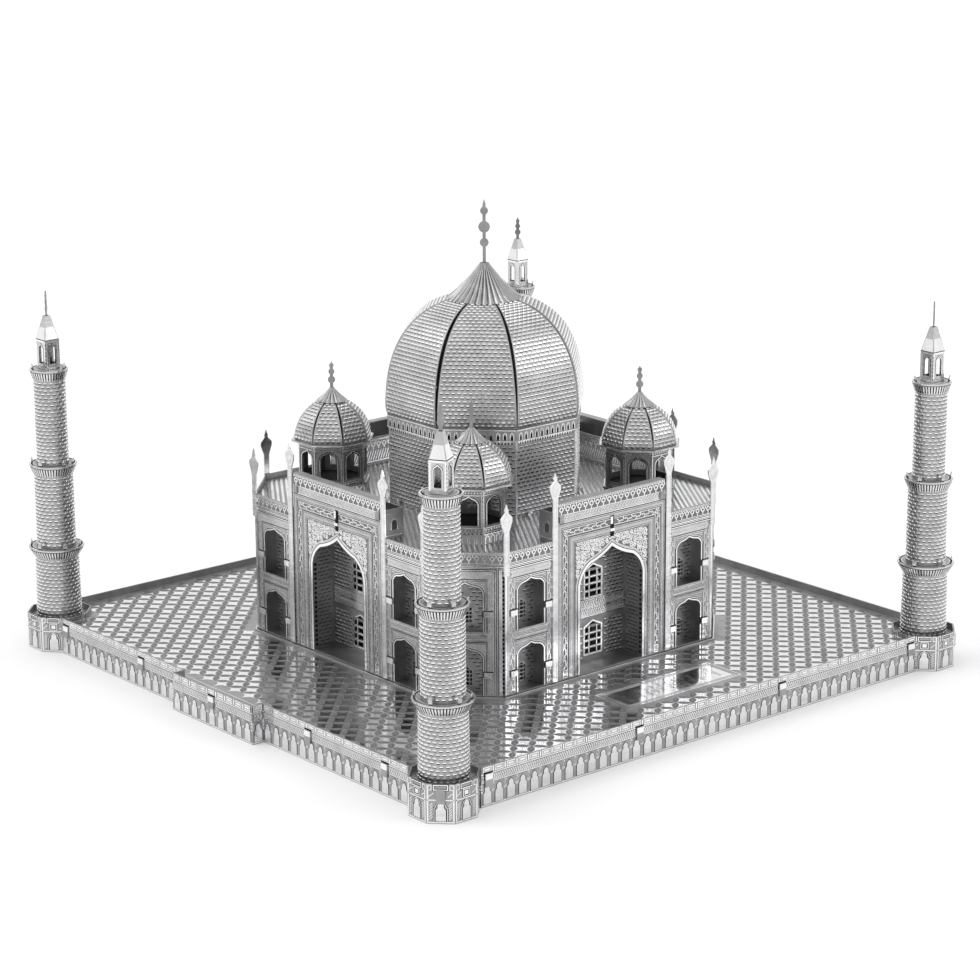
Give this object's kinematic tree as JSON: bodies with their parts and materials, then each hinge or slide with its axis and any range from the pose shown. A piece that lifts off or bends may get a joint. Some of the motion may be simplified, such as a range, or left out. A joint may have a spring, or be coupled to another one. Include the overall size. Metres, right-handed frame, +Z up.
{
  "type": "miniature landmark model",
  "caption": "Desk model of a domed mausoleum with minarets on a square plinth, folded from etched stainless steel sheet.",
  "frame": {"origin": "on the ground under the middle of the square plinth", "axes": "+Z up; -Y is the front, where the entrance block stands out of the plinth; +X is the side with the plaque"},
  "size_m": [0.1494, 0.1494, 0.102],
  "materials": {
    "polished_plate": "mirror polished stainless plate, etched with an overlapping-circle lattice",
    "polished_trim": "bright polished stainless strip",
    "ribbed_sheet": "satin stainless sheet etched with parallel ribs",
    "shaded_lining": "satin stainless sheet, brick etched",
    "brick_etched_sheet": "stainless sheet etched in rows of small bricks, polished faces and matte joints",
    "etched_sheet": "stainless sheet with matte etched ornament between polished borders"
  },
  "bodies": {
    "root": {"building_floor_plate": "polished_plate", "building_roof_plate": "ribbed_sheet", "chhatri_back_left_dome": "brick_etched_sheet", "chhatri_back_left_kiosk": "etched_sheet", "chhatri_back_right_dome": "brick_etched_sheet", "chhatri_back_right_kiosk": "etched_sheet", "chhatri_bases": "etched_sheet", "chhatri_caps": "etched_sheet", "chhatri_eaves": "etched_sheet", "chhatri_finials": "polished_trim", "chhatri_front_left_dome": "brick_etched_sheet", "chhatri_front_left_kiosk": "etched_sheet", "chhatri_front_right_dome": "brick_etched_sheet", "chhatri_front_right_kiosk": "etched_sheet", "corner_wall_back_left": "etched_sheet", "corner_wall_back_right": "etched_sheet", "corner_wall_front_left": "etched_sheet", "corner_wall_front_right": "etched_sheet", "deck_plate": "polished_plate", "dome_band": "brick_etched_sheet", "dome_cap": "brick_etched_sheet", "dome_drum": "brick_etched_sheet", "dome_finial": "polished_trim", "dome_petals": "brick_etched_sheet", "facade_back": "etched_sheet", "facade_front": "etched_sheet", "facade_left": "etched_sheet", "facade_right": "etched_sheet", "minaret_back_left_lantern": "etched_sheet", "minaret_back_left_lower_shaft": "brick_etched_sheet", "minaret_back_left_middle_shaft": "brick_etched_sheet", "minaret_back_left_upper_shaft": "brick_etched_sheet", "minaret_back_right_lantern": "etched_sheet", "minaret_back_right_lower_shaft": "brick_etched_sheet", "minaret_back_right_middle_shaft": "brick_etched_sheet", "minaret_back_right_upper_shaft": "brick_etched_sheet", "minaret_finials": "polished_trim", "minaret_front_left_lantern": "etched_sheet", "minaret_front_left_lower_shaft": "brick_etched_sheet", "minaret_front_left_middle_shaft": "brick_etched_sheet", "minaret_front_left_upper_shaft": "brick_etched_sheet", "minaret_front_right_lantern": "etched_sheet", "minaret_front_right_lower_shaft": "brick_etched_sheet", "minaret_front_right_middle_shaft": "brick_etched_sheet", "minaret_front_right_upper_shaft": "brick_etched_sheet", "minaret_lower_galleries": "etched_sheet", "minaret_middle_galleries": "etched_sheet", "minaret_upper_galleries": "etched_sheet", "pinnacles": "polished_trim", "portal_niches": "shaded_lining", "portal_returns": "etched_sheet", "skirt_back": "etched_sheet", "skirt_front": "etched_sheet", "skirt_left": "etched_sheet", "skirt_right": "etched_sheet", "turret_back_left": "etched_sheet", "turret_back_right": "etched_sheet", "turret_front_left": "etched_sheet", "turret_front_right": "etched_sheet", "window_linings": "shaded_lining"}
  },
  "joints": []
}
